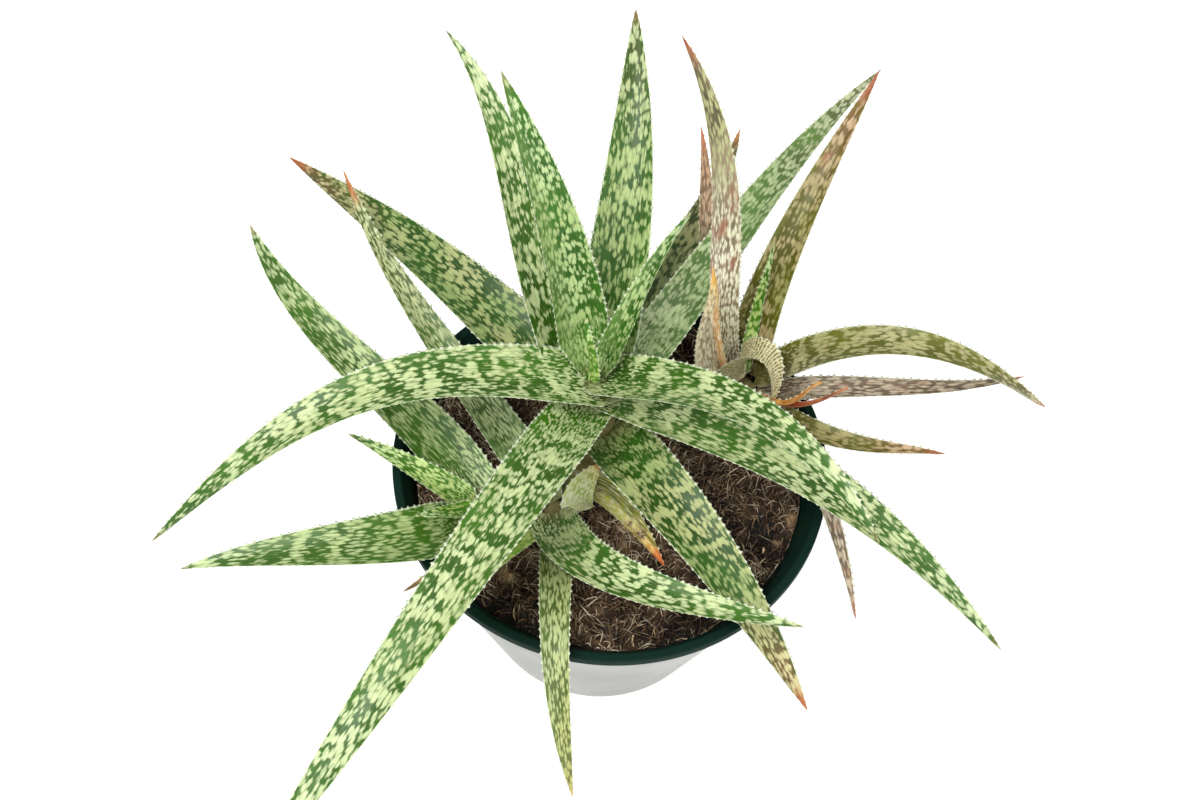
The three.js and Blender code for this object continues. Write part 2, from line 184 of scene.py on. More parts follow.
# Leaf finishes. ground and pale are the colours of the skin and its spots at the base and
# the tip, and turn the stretch of the leaf where the first gives way to the second. blotch is
# a dried colour, its amount, and the stretch that it keeps to. burn is a tip's colour and
# about where it starts. size is the spots' radius in their own cells, bands how far they
# gather into cross bands, and fine how many times narrower and shorter than usual they are.
# ridges is the share of fine cross ridges, and flank a colour that one half of the blade
# takes, with its amount and that half's sign: painted light on heart's lit half, painted
# shade on folded's shaded half, and a real dried orange on one half of dead.
FINISHES = {
    "green": dict(ground=((46, 84, 8), (58, 98, 34)), pale=((184, 198, 140), (196, 210, 160)),
                  burn=((150, 120, 70), 0.985)),
    "green_streaked": dict(ground=((50, 86, 14), (62, 98, 36)), pale=((170, 188, 126), (186, 202, 150)),
                           burn=((150, 120, 70), 0.985), size=0.42, bands=1.2, fine=(1.3, 0.85)),
    # A darker copy of green: painted shade for a leaf that faces away from the light.
    "shaded_green": dict(ground=((38, 76, 6), (66, 84, 30)), pale=((158, 178, 112), (178, 190, 140)),
                 burn=((150, 110, 64), 0.98), size=0.42),
    # heart: its pale flank is painted light on the lit half of the blade.
    "heart": dict(ground=((40, 86, 6), (44, 90, 22)), pale=((166, 188, 120), (184, 204, 150)),
                  burn=((150, 140, 90), 0.985), size=0.42, bands=1.2, fine=(1.1, 1.1),
                  flank=((160, 184, 116), 0.25, 1)),
    "dusty": dict(ground=((76, 106, 48), (98, 100, 66)), pale=((164, 184, 130), (178, 184, 148)),
                  burn=((150, 120, 84), 0.98), size=0.47, bands=1.4, fine=(1.1, 1.2)),
    # A brighter, more vivid yellow-green: partly the leaf's own colour, partly painted light on a leaf
    # that lies in shade.
    "lit_lively": dict(ground=((92, 138, 14), (80, 120, 30)), pale=((198, 214, 112), (196, 210, 150)),
                   size=0.46, bands=1.2, burn=((150, 120, 70), 0.985)),
    "young": dict(ground=((58, 104, 12), (50, 104, 36)), pale=((176, 200, 112), (202, 222, 164)),
                  burn=((200, 196, 130), 0.97), size=0.45, bands=1.0, fine=(1.35, 1.3)),
    "faded": dict(ground=((58, 88, 32), (84, 98, 46)), pale=((154, 176, 118), (194, 200, 150)),
                  blotch=((150, 120, 74), 0.1, 0.3, 1.0), burn=((188, 108, 54), 0.93), size=0.46,
                  bands=0.9, fine=(1.6, 1.1), turn=(0.15, 0.75)),
    "faded_green": dict(ground=((72, 90, 38), (88, 90, 34)), pale=((170, 184, 132), (174, 176, 100)),
                        burn=((176, 150, 70), 0.95), size=0.46, bands=0.9, fine=(1.6, 1.1)),
    # A darker copy of green as painted shade, with a real brown tip and dried blotches.
    "shaded_brown_tipped": dict(ground=((34, 70, 6), (108, 84, 44)), pale=((146, 166, 102), (190, 182, 132)),
                         blotch=((156, 110, 70), 0.14, 0.7, 1.0), burn=((176, 96, 52), 0.94),
                         turn=(0.55, 0.9)),
    "shaded": dict(ground=((40, 64, 14), (92, 80, 48)), pale=((128, 142, 88), (150, 134, 100)),
                   blotch=((160, 120, 80), 0.12, 0.75, 1.0), burn=((196, 130, 70), 0.95)),
    # stub: its ground and spots are lightened as painted light, for a leaf that sits in the shade of the
    # leaves above it.
    "stub": dict(ground=((186, 206, 118), (200, 170, 96)), pale=((255, 255, 220), (252, 230, 164)),
                 burn=((196, 108, 50), 0.86), size=0.5, bands=0.6, fine=(1.8, 1.5)),
    # folded: its dark flank is painted shade on the blade's shaded half, and its ground and spots are
    # lightened as painted light.
    "folded": dict(ground=((196, 192, 96), (226, 150, 70)), pale=((255, 246, 186), (255, 206, 120)),
                   burn=((220, 108, 46), 0.86), size=0.5, bands=0.8, fine=(1.5, 1.1),
                   flank=((70, 92, 30), 0.85, 1)),
    "olive": dict(ground=((82, 86, 22), (98, 94, 44)), pale=((160, 158, 106), (186, 178, 136)),
                  blotch=((140, 100, 68), 0.12, 0.0, 1.0), burn=((170, 112, 70), 0.96), size=0.42),
    "curled": dict(ground=((104, 100, 56), (120, 112, 72)), pale=((200, 192, 148), (214, 206, 164)),
                   burn=((150, 110, 80), 0.97), size=0.36, bands=0.6, fine=(1.6, 1.6), ridges=0.75),
    "olive_red": dict(ground=((80, 80, 14), (120, 84, 48)), pale=((150, 146, 90), (192, 162, 130)),
                      blotch=((140, 80, 50), 0.32, 0.6, 1.0), burn=((156, 82, 50), 0.92), size=0.42),
    "greying": dict(ground=((120, 104, 82), (58, 62, 24)), pale=((250, 240, 216), (164, 164, 116)),
                    blotch=((150, 96, 66), 0.5, 0.3, 0.6), burn=((150, 82, 54), 0.95), size=0.47,
                    bands=0.7, fine=(1.35, 0.9), turn=(0.45, 0.72)),
    "grey_brown": dict(ground=((96, 82, 66), (98, 82, 60)), pale=((188, 174, 152), (186, 172, 144)),
                       blotch=((140, 96, 74), 0.3, 0.3, 1.0), burn=((160, 100, 74), 0.94), size=0.45,
                       bands=0.8, fine=(1.3, 0.9)),
    "thin_red": dict(ground=((96, 84, 64), (122, 84, 60)), pale=((176, 164, 134), (186, 144, 112)),
                     blotch=((140, 76, 54), 0.3, 0.5, 1.0), burn=((180, 112, 76), 0.93), size=0.44,
                     bands=0.6, fine=(1.5, 1.0)),
    "rust": dict(ground=((128, 56, 24), (150, 70, 30)), pale=((160, 84, 42), (186, 112, 54)),
                 blotch=((108, 50, 28), 0.4, 0.0, 1.0), burn=((196, 108, 52), 0.9), size=0.36, bands=0.3),
    "straw_orange": dict(ground=((176, 110, 44), (200, 128, 50)), pale=((214, 160, 84), (228, 180, 92)),
                         blotch=((140, 72, 32), 0.4, 0.0, 1.0), burn=((226, 164, 76), 0.9), size=0.4,
                         bands=0.3),
    "dead": dict(ground=((170, 150, 120), (200, 160, 100)), pale=((250, 240, 214), (244, 216, 156)),
                 burn=((240, 180, 86), 0.86), size=0.52, bands=0.6, fine=(1.6, 1.0),
                 flank=((236, 170, 84), 0.75, -1)),
    "straw": dict(ground=((84, 64, 30), (80, 58, 30)), pale=((146, 116, 62), (130, 100, 56)),
                  burn=((120, 86, 50), 0.95), size=0.46, bands=0.3, fine=(1.8, 0.6)),
}
PLAIN_FINISH = dict(blotch=((150, 120, 90), 0.0, 0.0, 1.0), size=0.44, bands=1.5, fine=(1.0, 1.0),
                    ridges=0.0, flank=((0, 0, 0), 0.0, 1), turn=(0.5, 1.0))

# Each leaf as in the part's source: name, plant, full width in mm, a route of four places
# from the crown, finish, and its own neck, taper, channel or roll. A place is a turn in
# degrees from +X, and its distances out and up in mm.
LEAVES = [
    ("main_bud", "main", 6, [[0, 0, 0], [190, 0, 13], [205, 2, 26], [210, 4, 38]], "young", {}),
    ("main_inner", "main", 10.5, [[71, 2, -2], [49, 13, 24], [45, 23, 46], [39, 32, 66]], "heart",
     dict(neck=0.4)),
    ("main_channelled", "main", 18, [[112, 3, -5], [124, 17, 38], [132, 31, 76], [131, 52, 100]], "heart",
     dict(neck=0.25, taper=2.3, channel=0.6, roll=-15)),
    ("main_back", "main", 22, [[87, 4, -8], [82, 34, 26], [85, 64, 52], [88, 100, 68]], "shaded_green",
     dict(taper=2)),
    ("main_right_upper", "main", 20, [[120, 4, -2], [339, 36, 20], [330, 72, 32], [324, 109, 24]],
     "green", {}),
    ("main_left", "main", 23, [[10, 9, -4], [191, 53, 11], [198, 101, 4], [202, 150, -32]], "green", {}),
    ("main_back_left", "main", 21, [[122, 7, -11], [127, 36, 29], [124, 64, 58], [126, 94, 76]],
     "green", {}),
    ("main_right_lower", "main", 24, [[102, 7, -10], [341, 55, -1], [338, 104, -12], [336, 155, -46]],
     "green", {}),
    ("main_front", "main", 21.5, [[76, 4, -13], [247, 58, 9], [244.5, 121, 3], [241.5, 190, -34]],
     "green", dict(taper=1.9)),
    ("main_far_left", "main", 25, [[138, 7, -17], [141, 56, -7], [140, 104, -12], [139, 160, -28]],
     "shaded_brown_tipped", {}),
    ("main_back_right", "main", 18, [[50, 7, -16], [52, 49, 2], [55, 100, 12], [55, 164, 14]],
     "dusty", {}),
    ("main_front_right", "main", 24, [[320, 6, -22], [310, 42, -16], [312, 78, -28], [313, 116, -58]],
     "shaded_brown_tipped", dict(taper=1.7)),
    ("main_back_low", "main", 19, [[66, 7, -24], [68, 49, -16], [68, 93, -14], [70, 135, -16]],
     "shaded", {}),
    ("left_tiny", "left", 8, [[213, 2, 0], [218, 12, 8], [219, 20, 15], [218, 27, 20]], "young", {}),
    ("left_small", "left", 11, [[160, 5, -3], [166, 19, 7], [165, 34, 13], [164, 50, 16]], "young", {}),
    ("left_back", "left", 20, [[105, 5, -7], [136, 44, 8], [140, 84, 20], [135, 134, 18]],
     "green_streaked", dict(taper=1.7)),
    ("left_long", "left", 23, [[210, 4, -8], [213, 37, 9], [204, 69, 10], [200, 102, 4]],
     "green_streaked", {}),
    ("left_dried", "left", 8, [[253, 5, -11], [249, 23, 2], [242, 33, 3], [235, 42, 0]], "straw", {}),
    ("front_right", "front", 18, [[202, 3, -3], [294, 32, 16], [315, 61, 24], [330, 93, 18]],
     "green", dict(taper=1.7)),
    ("front_stub", "front", 12, [[6, 7, -8], [27, 7, 0], [36, 11, 7], [36, 16, 13]],
     "stub", dict(taper=2)),
    ("front_folded", "front", 13, [[60, 7, -10], [42, 17, -7], [353, 27, -6], [338, 40, -11]],
     "folded", dict(channel=0.9)),
    ("front_left", "front", 18, [[170, 6, -7], [234, 46, 20], [238, 84, 24], [236, 135, -6]],
     "lit_lively", {}),
    ("front_withered", "front", 16, [[127, 5, -7], [129, 52, 1], [131, 95, 18], [130, 133, 42]],
     "faded", {}),
    ("front_hanging", "front", 11, [[265, 5, -7], [272, 39, 7], [274, 67, 1], [278, 90, -36]],
     "faded_green", dict(taper=2.2)),
    ("dry_young", "dry", 5, [[83, 3, -2], [82, 17, 19], [80, 21, 36], [80, 24, 50]], "young", {}),
    ("dry_dead", "dry", 14, [[200, 8, -8], [174, 14, 18], [176, 15, 40], [172, 17, 60]], "dead",
     dict(taper=1, roll=-60)),
    ("dry_tall", "dry", 13.5, [[140, 5, -3], [147, 14, 48], [134, 25, 92], [130, 53, 124]], "greying",
     dict(taper=2.5)),
    ("dry_curled", "dry", 14, [[150, 5, -4], [168, 3, 16], [327, 8, 22], [318, 14, -2]], "curled", {}),
    ("dry_back", "dry", 16, [[82, 6, -7], [74, 25, 32], [68, 55, 58], [66, 89, 74]], "olive_red", {}),
    ("dry_arching", "dry", 15, [[40, 5, -4], [1, 38, 28], [357, 71, 30], [359, 107, 0]], "olive",
     dict(taper=1.8)),
    ("dry_thin", "dry", 9, [[120, 6, -5], [121, 28, 26], [116, 44, 50], [114, 58, 70]], "thin_red",
     dict(taper=2.2)),
    ("dry_shred_upper", "dry", 3, [[316, 6, -3], [321, 19, 5], [333, 23, 10], [341, 27, 15]],
     "straw_orange", {}),
    ("dry_shred_lower", "dry", 3, [[313, 6, -5], [325, 21, 4], [337, 29, 8], [346, 36, 13]], "rust", {}),
    ("dry_right", "dry", 10, [[346, 6, -8], [357, 34, 2], [0, 65, 4], [3, 98, 8]], "grey_brown",
     dict(taper=1.8)),
    ("dry_low_right", "dry", 11, [[320, 5, -8], [325, 36, 0], [335, 56, 0], [343, 75, -4]],
     "olive_red", {}),
    ("dry_hanging", "dry", 9, [[336, 5, -9], [307, 35, 1], [301, 65, -4], [301, 87, -32]], "grey_brown",
     {}),
]


# Meshes

def add_mesh(name, points, quads, triangles, corner_uv=None, values=None):
    """A smooth mesh from points in mm, quads and triangles. corner_uv holds a place for each
    face corner, quads first, and values holds one number for each point under its name."""
    mesh = bpy.data.meshes.new(name)
    corners = np.concatenate([quads.ravel(), triangles.ravel()]).astype(np.int32)
    starts = np.concatenate([np.arange(len(quads)) * 4,
                             quads.size + np.arange(len(triangles)) * 3]).astype(np.int32)
    mesh.vertices.add(len(points))
    mesh.vertices.foreach_set("co", (points * MM).astype(np.float32).ravel())
    mesh.loops.add(len(corners))
    mesh.loops.foreach_set("vertex_index", corners)
    mesh.polygons.add(len(starts))
    mesh.polygons.foreach_set("loop_start", starts)
    mesh.update(calc_edges=True)
    mesh.shade_smooth()
    if corner_uv is not None:
        mesh.uv_layers.new(name="skin").uv.foreach_set("vector", corner_uv.astype(np.float32).ravel())
    for key, numbers in (values or {}).items():
        attribute = mesh.attributes.new(key, "FLOAT", "POINT")
        attribute.data.foreach_set("value", numbers.astype(np.float32).ravel())
    piece = bpy.data.objects.new(name, mesh)
    bpy.context.scene.collection.objects.link(piece)
    return piece


def ring_faces(rows, columns):
    """Faces of a tube of rows rings by columns points, then one point that closes the first
    ring and one that closes the last. Rings run to the left of the way the tube goes."""
    ring = np.arange(columns)
    following = (ring + 1) % columns
    first = np.arange(rows - 1)[:, None] * columns
    quads = np.stack([first + ring, first + following, first + columns + following,
                      first + columns + ring], axis=-1).reshape(-1, 4)
    count = rows * columns
    start = np.stack([np.full(columns, count), following, ring], axis=-1)
    last = (rows - 1) * columns
    end = np.stack([np.full(columns, count + 1), last + ring, last + following], axis=-1)
    return quads, np.concatenate([start, end])


def lathe(profile, sides):
    """Points and faces of a solid turned about the Z axis. profile runs from the axis out and
    back to the axis, anticlockwise with radius to the right and height up."""
    profile = np.array(profile, float)
    turn = np.linspace(0, 2 * np.pi, sides, endpoint=False)
    radius = profile[1:-1, :1]
    points = np.stack([radius * np.cos(turn), radius * np.sin(turn),
                       np.repeat(profile[1:-1, 1:], sides, axis=1)], axis=-1).reshape(-1, 3)
    ends = np.array([[0, 0, profile[0, 1]], [0, 0, profile[-1, 1]]])
    quads, triangles = ring_faces(len(radius), sides)
    return np.concatenate([points, ends]), quads, triangles


def rounded(profile, radius):
    """The profile with each inner corner replaced by an arc: the corner is cut back by radius,
    or by 0.45 of the shorter side, and filled with a quadratic curve."""
    profile = np.array(profile, float)
    made = [profile[:1]]
    for before, corner, after in zip(profile[:-2], profile[1:-1], profile[2:]):
        into, out = before - corner, after - corner
        reach = min(radius, 0.45 * np.linalg.norm(into), 0.45 * np.linalg.norm(out))
        enter = corner + into / np.linalg.norm(into) * reach
        leave = corner + out / np.linalg.norm(out) * reach
        t = np.linspace(0, 1, CORNER_STEPS + 1)[:, None]
        made.append((1 - t) ** 2 * enter + 2 * t * (1 - t) * corner + t ** 2 * leave)
    made.append(profile[-1:])
    return np.concatenate(made)


def value_noise(x, y, cell, seed):
    """Smooth noise from -1 to 1: random numbers on a square lattice of cell, joined by the
    cubic 3t^2 - 2t^3 both ways."""
    size = NOISE_TABLE
    table = np.random.default_rng(seed).uniform(-1, 1, (size, size))
    u, v = x / cell + size / 2, y / cell + size / 2
    i, j = np.floor(u).astype(int), np.floor(v).astype(int)
    a, b = u - i, v - j
    a, b = a * a * (3 - 2 * a), b * b * (3 - 2 * b)
    left, right, front, back = i % size, (i + 1) % size, j % size, (j + 1) % size
    here = table[left, front] * (1 - a) + table[right, front] * a
    above = table[left, back] * (1 - a) + table[right, back] * a
    return here * (1 - b) + above * b


# Leaves

def along_route(plant, route, shares):
    """Places and directions at shares of the length of the cubic that passes through the
    route's four places at its thirds, with its length and the level direction from its first
    place to its last."""
    crown = np.array(PLANTS[plant][0], float)
    turn, out, up = np.array(route, float).T
    turn = np.radians(turn)
    a, b, c, d = crown + np.stack([out * np.cos(turn), out * np.sin(turn), up], axis=-1)
    p = (-5 * a + 18 * b - 9 * c + 2 * d) / 6
    q = (2 * a - 9 * b + 18 * c - 5 * d) / 6

    def place(t):
        t = t[:, None]
        return (1 - t) ** 3 * a + 3 * (1 - t) ** 2 * t * p + 3 * (1 - t) * t ** 2 * q + t ** 3 * d

    fine = np.linspace(0, 1, ROUTE_SAMPLES)
    steps = np.linalg.norm(np.diff(place(fine), axis=0), axis=1)
    lengths = np.concatenate([[0], np.cumsum(steps)])
    t = np.interp(shares * lengths[-1], lengths, fine)
    w = t[:, None]
    direction = (1 - w) ** 2 * (p - a) + 2 * (1 - w) * w * (q - p) + w ** 2 * (d - q)
    return place(t), unit(direction), lengths[-1], unit((d - a) * [1, 1, 0])


def unit(vectors):
    """The vectors at length 1."""
    return vectors / np.linalg.norm(vectors, axis=-1, keepdims=True)


def tooth_row(distance, seed):
    """Share of a full tooth at each distance along the margin: a narrow triangle once in each
    pitch, of its own height and a little out of its place."""
    rng = np.random.default_rng(seed)
    number = np.floor(distance / TOOTH_PITCH).astype(int)
    heights = rng.uniform(*TOOTH_HEIGHTS, number.max() + 2)
    shifts = rng.uniform(-TOOTH_SHIFT, TOOTH_SHIFT, number.max() + 2)
    off = np.abs(distance - (number + 0.5) * TOOTH_PITCH - shifts[number])
    return heights[number] * np.clip(1 - off / TOOTH_HALF_BASE, 0, 1)


def leaf_corners(shares, half, distance, length):
    """The pattern's place at each face corner, in mm: the margin's share times the half width
    across, and the distance along. The underside lies UNDERSIDE_SHIFT to the side."""
    shift = np.where(np.arange(len(shares)) < len(SHARES) - 1, 0, UNDERSIDE_SHIFT)
    following = np.roll(shares, -1)
    middle = np.zeros(len(shares))

    def corner(across, along):
        return np.stack(np.broadcast_arrays(across + shift, along), axis=-1)

    here, there = half[:-1, None], half[1:, None]
    low, high = distance[:-1, None], distance[1:, None]
    quads = np.stack([corner(here * shares, low), corner(here * following, low),
                      corner(there * following, high), corner(there * shares, high)], axis=-2)
    start = np.stack([corner(middle, 0.0), corner(half[0] * following, 0.0),
                      corner(half[0] * shares, 0.0)], axis=-2)
    end = np.stack([corner(middle, length), corner(half[-1] * shares, distance[-1]),
                    corner(half[-1] * following, distance[-1])], axis=-2)
    fans = np.concatenate([start, end])
    return np.concatenate([quads[..., ::-1, :].reshape(-1, 2), fans[:, ::-1].reshape(-1, 2)])


def make_leaf(number, name, plant, width, route, neck=NECK, taper=TAPER, channel=CHANNEL, roll=0):
    """A leaf as one closed tube. At share s of its length its half width is 0.5 width
    (1 - s^taper)^0.9, less the neck that widens over the first 0.15 and the heel that rounds
    the first 0.04. At share t of that half width the upper face sags by channel (1 - t^2) half
    widths below the margins, and the lower face by the leaf's thickness more. The blade is
    turned by roll degrees about its route. The margins carry teeth that reach outward and up."""
    rough_length = along_route(plant, route, np.array([1.0]))[2]
    rows = max(FEWEST_ROWS, int(rough_length / ROW_STEP))
    s = (np.arange(rows) / rows) ** ROW_SPACING
    centre, along, length, reach = along_route(plant, route, s)
    side = unit(np.cross([0, 0, 1], along * [1, 1, 0] + SIDE_STEADINESS * reach))
    side = unit(side - along * (side * along).sum(1, keepdims=True))
    roll = np.radians(roll)
    side = np.cos(roll) * side + np.sin(roll) * np.cross(along, side)
    upper = np.cross(along, side)
    widening = neck + (1 - neck) * np.minimum(s / NECK_LENGTH, 1)
    widening *= HEEL + (1 - HEEL) * np.minimum(s / HEEL_LENGTH, 1)
    half = 0.5 * width * widening * (1 - s ** taper) ** TIP_SHARPNESS
    sag = channel * half
    base_thickness = max(THINNEST_BASE, THICKNESS_SHARE * width)
    thick = TIP_THICKNESS + (base_thickness - TIP_THICKNESS) * (1 - s)
    thick = thick * np.sqrt(np.clip((1 - s) / TIP_ROUNDING, 0, 1))

    shares = np.concatenate([SHARES, SHARES[-2:0:-1]])
    is_upper = np.arange(len(shares)) <= len(SHARES) - 1
    bow = (1 - shares ** 2)[None, :]
    across = half[:, None] * shares
    up = -np.where(is_upper, sag[:, None], (sag + thick)[:, None]) * bow

    distance = s * length
    slope = MARGIN_SLOPE_SHARE * (2 * sag + thick) / np.maximum(half, 0.1)
    slope = np.minimum(STEEPEST_MARGIN, slope)
    room = np.minimum(TOOTH_HEIGHT, TOOTH_ROOM * half)
    reach_out = np.zeros_like(across)
    near = np.clip((np.abs(shares) - (1 - TOOTH_ZONE)) / TOOTH_ZONE, 0, 1) ** 2
    for sign in (1, -1):
        teeth = tooth_row(distance, TOOTH_SEED + 2 * number + (sign > 0)) * room
        reach_out += teeth[:, None] * near * (np.sign(shares) == sign)
    across = across + np.sign(shares) * reach_out
    up = up + reach_out * slope[:, None]
    lean = reach_out * TOOTH_LEAN / TOOTH_HEIGHT

    points = (centre[:, None] + side[:, None] * across[..., None] + upper[:, None] * up[..., None]
              + along[:, None] * lean[..., None])
    tip = along_route(plant, route, np.array([1.0]))[0]
    ends = np.stack([points[0].mean(axis=0), tip[0]])
    quads, triangles = ring_faces(rows, len(shares))
    quads, triangles = quads[:, ::-1], triangles[:, ::-1]

    corners = leaf_corners(shares, half, distance, length) + [0, LEAF_SHIFT * (number + 1)]
    share_along = np.concatenate([np.repeat(s, len(shares)), [0, 1]])
    tooth = reach_out / TOOTH_HEIGHT
    share_across = np.concatenate([(np.abs(shares)[None, :] + 0.5 * tooth).ravel(), [0, 1]])
    points = np.concatenate([points.reshape(-1, 3), ends])
    piece = add_mesh(f"leaf_{name}_skin", points, quads, triangles, corners,
                     dict(share_along=share_along, share_across=share_across))
    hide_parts(f"leaf_{name}")
    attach(piece, "root")
    return piece


# Materials: small helpers that place and join shader nodes

class Graph:
    """Places nodes in a shader tree. An input is given as a number, a colour or a socket."""

    def __init__(self, tree):
        self.tree = tree

    def node(self, kind, inputs=None, **settings):
        made = self.tree.nodes.new(kind)
        for key, value in settings.items():
            setattr(made, key, value)
        for key, value in (inputs or {}).items():
            self.put(made.inputs[key], value)
        return made

    def put(self, socket, value):
        """Joins another node's socket to this one, or sets it to a number or a colour."""
        if isinstance(value, bpy.types.NodeSocket):
            self.tree.links.new(value, socket)
        else:
            socket.default_value = value

    def calc(self, operation, a, b=0.0):
        return self.node("ShaderNodeMath", {0: a, 1: b}, operation=operation).outputs[0]

    def step(self, value, low, high, to_low=0.0, to_high=1.0):
        """Runs smoothly from to_low, below low, to to_high, above high."""
        made = self.node("ShaderNodeMapRange", {"Value": value, "From Min": low, "From Max": high,
                                                "To Min": to_low, "To Max": to_high},
                         interpolation_type="SMOOTHSTEP")
        return made.outputs["Result"]

    def mix(self, factor, a, b):
        """The colour a, turned towards the colour b by the factor."""
        made = self.node("ShaderNodeMix", data_type="RGBA")
        for index, value in ((0, factor), (6, a), (7, b)):
            self.put(made.inputs[index], value)
        return made.outputs[2]

    def stretch(self, vector, scale, shift=(0, 0, 0)):
        return self.node("ShaderNodeMapping", {"Vector": vector, "Scale": scale,
                                               "Location": shift}).outputs["Vector"]

    def noise(self, vector, scale=1.0, detail=2.0, roughness=0.5):
        return self.node("ShaderNodeTexNoise", {"Vector": vector, "Scale": scale, "Detail": detail,
                                                "Roughness": roughness}).outputs[0]

    def cells(self, vector):
        """Distance to the nearest of a random point in each cell."""
        return self.node("ShaderNodeTexVoronoi", {"Vector": vector, "Scale": 1.0},
                         voronoi_dimensions="2D").outputs["Distance"]

    def attribute(self, name):
        return self.node("ShaderNodeAttribute", attribute_name=name).outputs["Fac"]

    def about_zero(self, value, reach):
        """A value from 0 to 1, moved to lie about 0 and stretched by reach."""
        return self.calc("MULTIPLY", self.calc("SUBTRACT", value, 0.5), reach)

    def relief(self, shader, height, strength, distance):
        """Tilts the light on a surface by a height. distance is in metres."""
        bump = self.node("ShaderNodeBump", {"Height": height, "Strength": strength,
                                            "Distance": distance})
        self.put(shader.inputs["Normal"], bump.outputs["Normal"])


def effect_group(name, inputs, outputs):
    """An empty node group with those inputs and outputs, and its graph and end nodes."""
    tree = bpy.data.node_groups.new(name, "ShaderNodeTree")
    kinds = {"value": "NodeSocketFloat", "vector": "NodeSocketVector"}
    for label, kind in inputs:
        tree.interface.new_socket(label, in_out="INPUT", socket_type=kinds[kind])
    for label, kind in outputs:
        tree.interface.new_socket(label, in_out="OUTPUT", socket_type=kinds[kind])
    graph = Graph(tree)
    return tree, graph, graph.node("NodeGroupInput").outputs, graph.node("NodeGroupOutput").inputs


def spots_group():
    """Oblong pale spots on a leaf's skin, stretched along it. Each is the part of a cell within
    Size of the cell's own point, so that they run together where Size is large. Size swells and
    shrinks in wavy cross bands, and fine threads and dashes run through it. Near the base the
    spots are smaller. Place is in mm across and along."""
    tree, g, given, out = effect_group(
        "leaf_spots",
        [("Place", "vector"), ("Size", "value"), ("Bands", "value"), ("Along", "value")],
        [("Spots", "value"), ("Hearts", "value"), ("Threads", "value"), ("Dashes", "value")])
    place = given["Place"]
    ragged = g.noise(g.stretch(place, *RAGGED))
    frayed = g.noise(g.stretch(place, *FRAYED))
    wander = g.noise(g.stretch(place, *WANDER), detail=1.0)
    uneven = g.node("ShaderNodeCombineXYZ", {"X": g.about_zero(ragged, RAGGED_REACH),
                                             "Y": g.about_zero(frayed, FRAYED_REACH)})
    wavy = g.node("ShaderNodeCombineXYZ", {"Y": g.calc("MULTIPLY", wander, BAND_WANDER)})
    spot_place = g.node("ShaderNodeVectorMath", {0: place, 1: uneven.outputs[0]}).outputs[0]
    band_place = g.node("ShaderNodeVectorMath", {0: place, 1: wavy.outputs[0]}).outputs[0]
    large = g.cells(g.stretch(spot_place, *LARGE_CELLS))
    small = g.cells(g.stretch(spot_place, *SMALL_CELLS))
    near_base = g.step(given["Along"], 0.05, 0.3, 1.0, 0.0)
    reach = g.node("ShaderNodeMix", {"Factor": near_base, "A": large, "B": small}).outputs["Result"]
    band = g.noise(g.stretch(band_place, *BANDS), detail=1.0)
    thread = g.noise(g.stretch(place, *THREADS))
    swell = g.about_zero(band, given["Bands"])
    size = g.calc("ADD", g.calc("ADD", given["Size"], swell), g.about_zero(thread, THREAD_THINNING))
    inside = g.calc("SUBTRACT", size, reach)
    dash = g.noise(g.stretch(place, *DASHES), detail=1.0)
    g.put(out["Spots"], g.step(inside, -0.13, 0.1))
    g.put(out["Hearts"], g.step(inside, 0.02, 0.36))
    g.put(out["Threads"], thread)
    g.put(out["Dashes"], g.step(dash, 0.58, 0.68))
    return tree


def start_material(name):
    """A new material, its graph and its surface node."""
    material = bpy.data.materials.new(name)
    material.use_nodes = True
    return material, Graph(material.node_tree), material.node_tree.nodes["Principled BSDF"]


